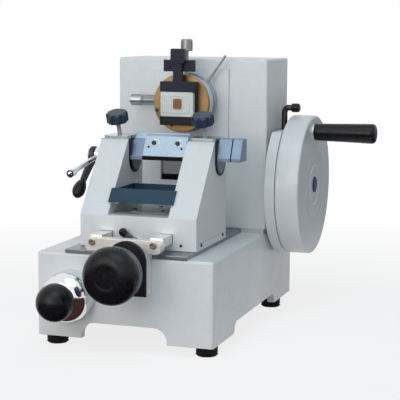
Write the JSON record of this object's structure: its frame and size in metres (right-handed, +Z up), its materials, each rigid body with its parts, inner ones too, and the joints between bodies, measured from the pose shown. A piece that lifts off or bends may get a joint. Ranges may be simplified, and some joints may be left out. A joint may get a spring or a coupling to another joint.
{
  "type": "rotary microtome",
  "caption": "Bench microtome: hand-cranked column with a specimen clamp that rises and falls past a tilting knife holder on a sliding carriage, on a hollow base with arched sides.",
  "frame": {"origin": "middle of the whole machine's footprint, on the bench under the feet", "axes": "+X to the right, towards the handwheel; +Y away from the operator; +Z up"},
  "size_m": [0.3282, 0.4251, 0.3394],
  "materials": {
    "cream_paint": "gloss enamel",
    "rubber": "matte",
    "steel": "fine ground",
    "black_metal": "satin black",
    "aluminium": "satin",
    "dark_steel": "blackened",
    "black_plastic": "gloss",
    "chrome": "mirror",
    "bright_steel": "polished",
    "brass": "satin",
    "blue_grey_paint": "satin",
    "cast_iron": "machined",
    "white_enamel": "gloss enamel",
    "cassette_plastic": "matte",
    "wax": "waxy",
    "blue_cap": "gloss"
  },
  "bodies": {
    "frame": {"base_casting": "cream_paint", "rubber_feet": "rubber", "bed_rail": "steel", "front_bracket": "cream_paint", "cover_plate": "black_metal", "yoke_bar": "aluminium", "yoke_screws": "dark_steel", "column_cover": "cream_paint", "column_frame": "cast_iron", "brake_drum": "cream_paint"},
    "feed_spindle": {"lead_screw": "steel", "drive_knob": "black_plastic"},
    "thickness_setting": {"thickness_bell": "chrome", "thickness_ball": "black_plastic", "thickness_spindle": "steel"},
    "carriage": {"knife_carriage": "cream_paint", "gib_strip": "cream_paint", "seat_liners": "bright_steel", "cap_plates": "steel", "feed_nut": "brass"},
    "clamp_left": {"clamp_screw_left": "steel", "star_knob_left": "black_plastic"},
    "clamp_right": {"clamp_screw_right": "steel", "star_knob_right": "black_plastic"},
    "tray": {"section_tray": "blue_grey_paint"},
    "carriage_lock": {"lock_lever": "bright_steel", "lock_tip": "black_plastic"},
    "knife_holder": {"knife_base": "bright_steel", "pressure_plate": "bright_steel", "blade": "bright_steel", "plate_screws": "dark_steel", "lever_spindle": "steel"},
    "blade_lever": {"blade_clamp_lever": "chrome"},
    "tilt_lever": {"tilt_clamp_lever": "dark_steel", "lever_grip": "black_plastic"},
    "slide": {"slide_block": "steel", "face_plate": "cream_paint", "crank_yoke": "steel", "feed_bridge": "steel"},
    "ratchet": {"ratchet_wheel": "brass"},
    "quill": {"feed_quill": "white_enamel", "ball_stud": "steel"},
    "lock_rod": {"lock_ring": "steel"},
    "tilt_knob": {"tilt_screw": "bright_steel"},
    "swivel_knob": {"swivel_screw": "bright_steel"},
    "gimbal": {"gimbal_ring": "brass"},
    "specimen_head": {"brass_disc": "brass", "cassette_clamp": "black_metal", "cassette": "cassette_plastic", "tissue_block": "wax"},
    "jaw": {"upper_jaw": "black_metal"},
    "wheel": {"main_shaft": "steel", "handwheel": "cream_paint", "hub_cap": "blue_cap", "handle_spindle": "aluminium"},
    "grip": {"handle_grip": "black_plastic"},
    "roller": {"crank_roller": "dark_steel"},
    "brake": {"brake_lever": "chrome", "brake_knob": "black_plastic"}
  },
  "joints": [
    {"name": "front_knob_turn", "type": "hinge", "parent": "frame", "child": "feed_spindle", "pos_m": [-0.0514, -0.1354, 0.097], "axis": [0, 1, 0], "range_deg": [-190, 730]},
    {"name": "carriage_feed", "type": "slide", "parent": "frame", "child": "carriage", "axis": [0, -1, 0], "range_m": [-0.004, 0.016]},
    {"name": "thickness_turn", "type": "hinge", "parent": "frame", "child": "thickness_setting", "pos_m": [-0.1236, -0.1354, 0.06], "axis": [0, -1, 0], "range_deg": [0, 300]},
    {"name": "clamp_left_turn", "type": "hinge", "parent": "carriage", "child": "clamp_left", "pos_m": [-0.10735, -0.0321, 0.2295], "axis": [0, -0.3584, 0.9336], "range_deg": [-180, 180]},
    {"name": "clamp_right_turn", "type": "hinge", "parent": "carriage", "child": "clamp_right", "pos_m": [-0.00385, -0.0321, 0.2295], "axis": [0, -0.3584, 0.9336], "range_deg": [-180, 180]},
    {"name": "tray_draw", "type": "slide", "parent": "carriage", "child": "tray", "axis": [0, -1, 0], "range_m": [0, 0.048]},
    {"name": "carriage_lock_turn", "type": "hinge", "parent": "carriage", "child": "carriage_lock", "pos_m": [-0.0566, -0.1089, 0.118], "axis": [0, 1, 0], "range_deg": [0, 60]},
    {"name": "knife_tilt", "type": "hinge", "parent": "carriage", "child": "knife_holder", "pos_m": [-0.0616, -0.0264, 0.2045], "axis": [1, 0, 0], "range_deg": [-5, 5]},
    {"name": "blade_lever_turn", "type": "hinge", "parent": "knife_holder", "child": "blade_lever", "pos_m": [-0.1356, -0.0264, 0.2045], "axis": [-1, 0, 0], "range_deg": [0, 70]},
    {"name": "tilt_lever_turn", "type": "hinge", "parent": "knife_holder", "child": "tilt_lever", "pos_m": [-0.1416, -0.0264, 0.2045], "axis": [1, 0, 0], "range_deg": [0, 35]},
    {"name": "vertical_slide", "type": "slide", "parent": "frame", "child": "slide", "axis": [0, 0, 1], "range_m": [-0.054, 0]},
    {"name": "ratchet_turn", "type": "hinge", "parent": "slide", "child": "ratchet", "pos_m": [-0.0536, 0.1166, 0.264], "axis": [0, 1, 0], "range_deg": [-2900, 6500]},
    {"name": "specimen_feed", "type": "slide", "parent": "slide", "child": "quill", "axis": [0, -1, 0], "range_m": [-0.008, 0.018]},
    {"name": "lock_rod_turn", "type": "hinge", "parent": "quill", "child": "lock_rod", "pos_m": [-0.0536, 0.0536, 0.264], "axis": [0, 1, 0], "range_deg": [-20, 20]},
    {"name": "tilt_knob_turn", "type": "hinge", "parent": "quill", "child": "tilt_knob", "pos_m": [-0.0536, 0.0476, 0.3], "axis": [0, 0, 1], "range_deg": [-360, 360]},
    {"name": "swivel_knob_turn", "type": "hinge", "parent": "quill", "child": "swivel_knob", "pos_m": [-0.1016, 0.0476, 0.2655], "axis": [1, 0, 0], "range_deg": [-360, 360]},
    {"name": "head_tilt", "type": "hinge", "parent": "quill", "child": "gimbal", "pos_m": [-0.0536, 0.0476, 0.264], "axis": [1, 0, 0], "range_deg": [-5.05, 5.05]},
    {"name": "head_swivel", "type": "hinge", "parent": "gimbal", "child": "specimen_head", "pos_m": [-0.0536, 0.0476, 0.264], "axis": [0, 0, 1], "range_deg": [-5.05, 5.05]},
    {"name": "jaw_open", "type": "hinge", "parent": "specimen_head", "child": "jaw", "pos_m": [-0.0536, 0.0236, 0.2835], "axis": [-1, 0, 0], "range_deg": [0, 12]},
    {"name": "handwheel_turn", "type": "hinge", "parent": "frame", "child": "wheel", "pos_m": [0.0584, 0.1273, 0.1621], "axis": [1, 0, 0], "continuous": true},
    {"name": "handle_grip_turn", "type": "hinge", "parent": "wheel", "child": "grip", "pos_m": [0.1264, 0.1156, 0.228], "axis": [1, 0, 0], "continuous": true},
    {"name": "roller_turn", "type": "hinge", "parent": "wheel", "child": "roller", "pos_m": [-0.0011, 0.1273, 0.1891], "axis": [1, 0, 0], "continuous": true},
    {"name": "brake_turn", "type": "hinge", "parent": "frame", "child": "brake", "pos_m": [0.0495, 0.1193, 0.24], "axis": [0, 0, 1], "range_deg": [-60, 60]}
  ],
  "couplings": [
    {"joint": "front_knob_turn", "follows": "carriage_feed", "rad_per_m": 785.4},
    {"joint": "ratchet_turn", "follows": "specimen_feed", "rad_per_m": 6283.2},
    {"joint": "head_tilt", "follows": "tilt_knob_turn", "ratio": 0.013889},
    {"joint": "head_swivel", "follows": "swivel_knob_turn", "ratio": 0.013889},
    {"joint": "roller_turn", "follows": "handwheel_turn", "ratio": -1}
  ]
}
